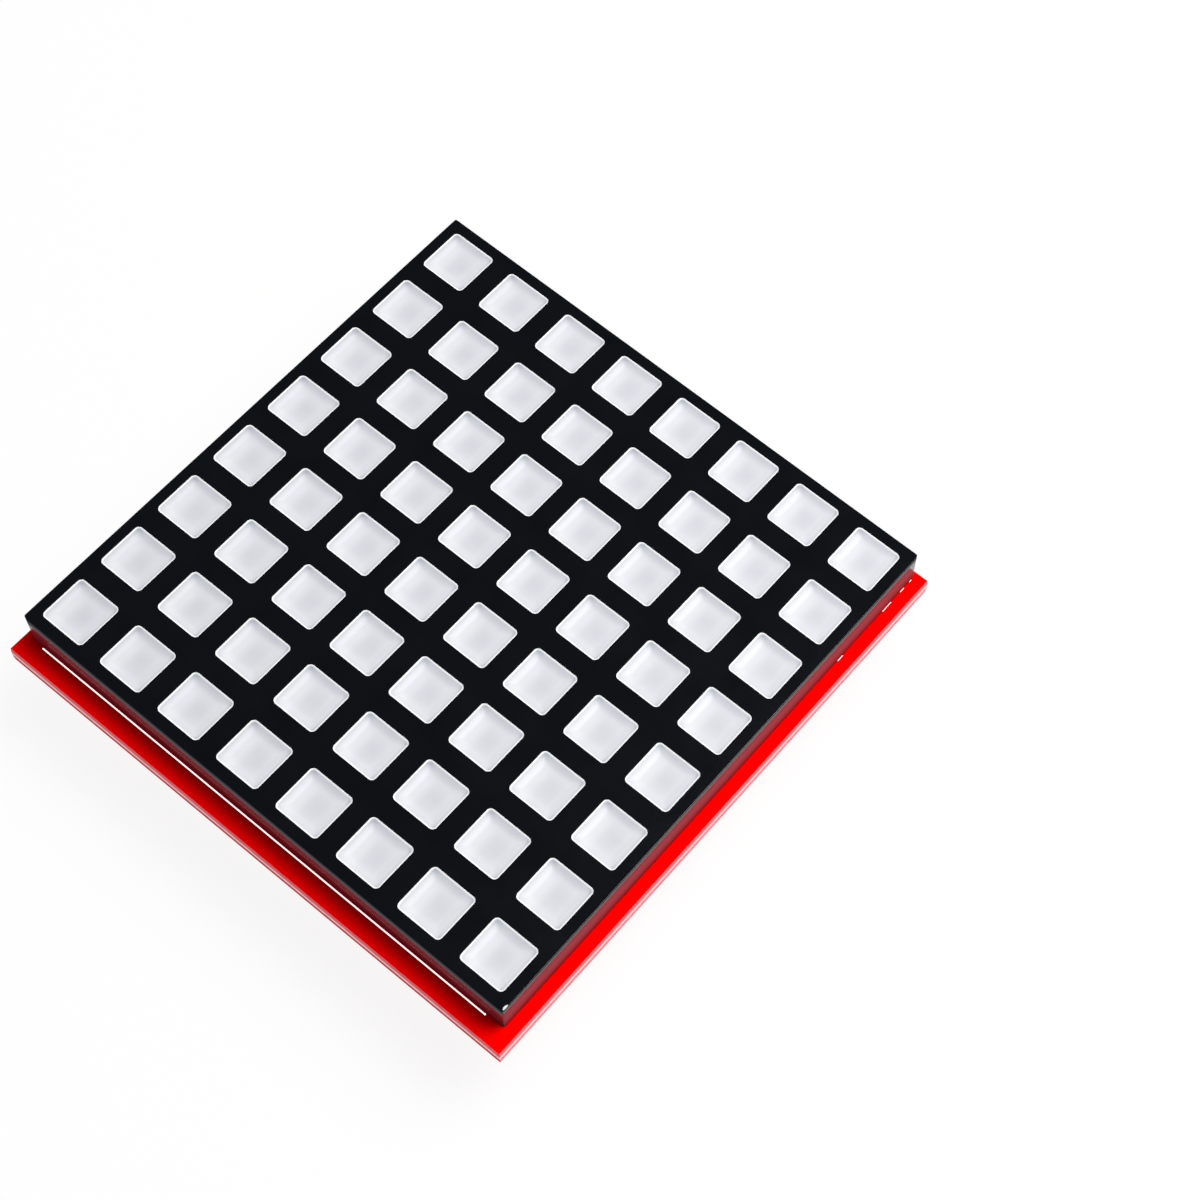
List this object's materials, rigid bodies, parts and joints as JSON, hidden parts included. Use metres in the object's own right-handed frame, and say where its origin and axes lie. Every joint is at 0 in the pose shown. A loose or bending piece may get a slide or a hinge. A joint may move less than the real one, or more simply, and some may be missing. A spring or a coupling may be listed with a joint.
{
  "type": "led dot matrix",
  "caption": "Square-dot LED display in a black moulded frame, soldered to a red driver board with pin headers underneath; shows characters and patterns.",
  "frame": {"origin": "under the middle of the driver board, at the level of the header pins' tips, on which the part stands", "axes": "+Z out of the display's face; +X towards the output header; +Y from the first row of dots to the last"},
  "size_m": [0.0632, 0.0638, 0.0162],
  "materials": {
    "frame_black": "moulded gloss black",
    "dot_resin": "milky diffusing resin, smooth cast surface",
    "inner_board": "white solder mask",
    "seal_resin": "cast resin",
    "die_red": "polished crystal",
    "die_green": "polished crystal",
    "die_blue": "polished crystal",
    "tinned_wire": "bright tin plating",
    "solder": "bright solder",
    "board_red": "glossy red solder mask on glass-epoxy board",
    "chip_black": "matte moulding compound",
    "tinned_lead": "matte tin plating",
    "resistor_black": "black glaze over ceramic",
    "capacitor_tan": "fired ceramic",
    "chip_end": "tinned",
    "header_black": "moulded matte black",
    "gold_pin": "gold plating"
  },
  "bodies": {
    "root": {"housing": "frame_black", "window_row_1": "dot_resin", "window_row_2": "dot_resin", "window_row_3": "dot_resin", "window_row_4": "dot_resin", "window_row_5": "dot_resin", "window_row_6": "dot_resin", "window_row_7": "dot_resin", "window_row_8": "dot_resin", "led_board": "inner_board", "back_seal": "seal_resin", "red_dies": "die_red", "green_dies": "die_green", "blue_dies": "die_blue", "display_pins_front": "tinned_wire", "display_pins_back": "tinned_wire", "pin_solder": "solder", "circuit_board": "board_red", "shift_register_1": "chip_black", "shift_register_2": "chip_black", "shift_register_3": "chip_black", "shift_register_4": "chip_black", "register_leads_1": "tinned_lead", "register_leads_2": "tinned_lead", "register_leads_3": "tinned_lead", "register_leads_4": "tinned_lead", "row_transistors": "chip_black", "transistor_leads": "tinned_lead", "column_resistors": "resistor_black", "column_resistor_ends": "chip_end", "base_resistors": "resistor_black", "base_resistor_ends": "chip_end", "bypass_capacitors": "capacitor_tan", "bypass_capacitor_ends": "chip_end", "bulk_capacitor": "capacitor_tan", "bulk_capacitor_ends": "chip_end", "input_header_base": "header_black", "input_header_pins": "gold_pin", "output_header_base": "header_black", "output_header_pins": "gold_pin"}
  },
  "joints": []
}
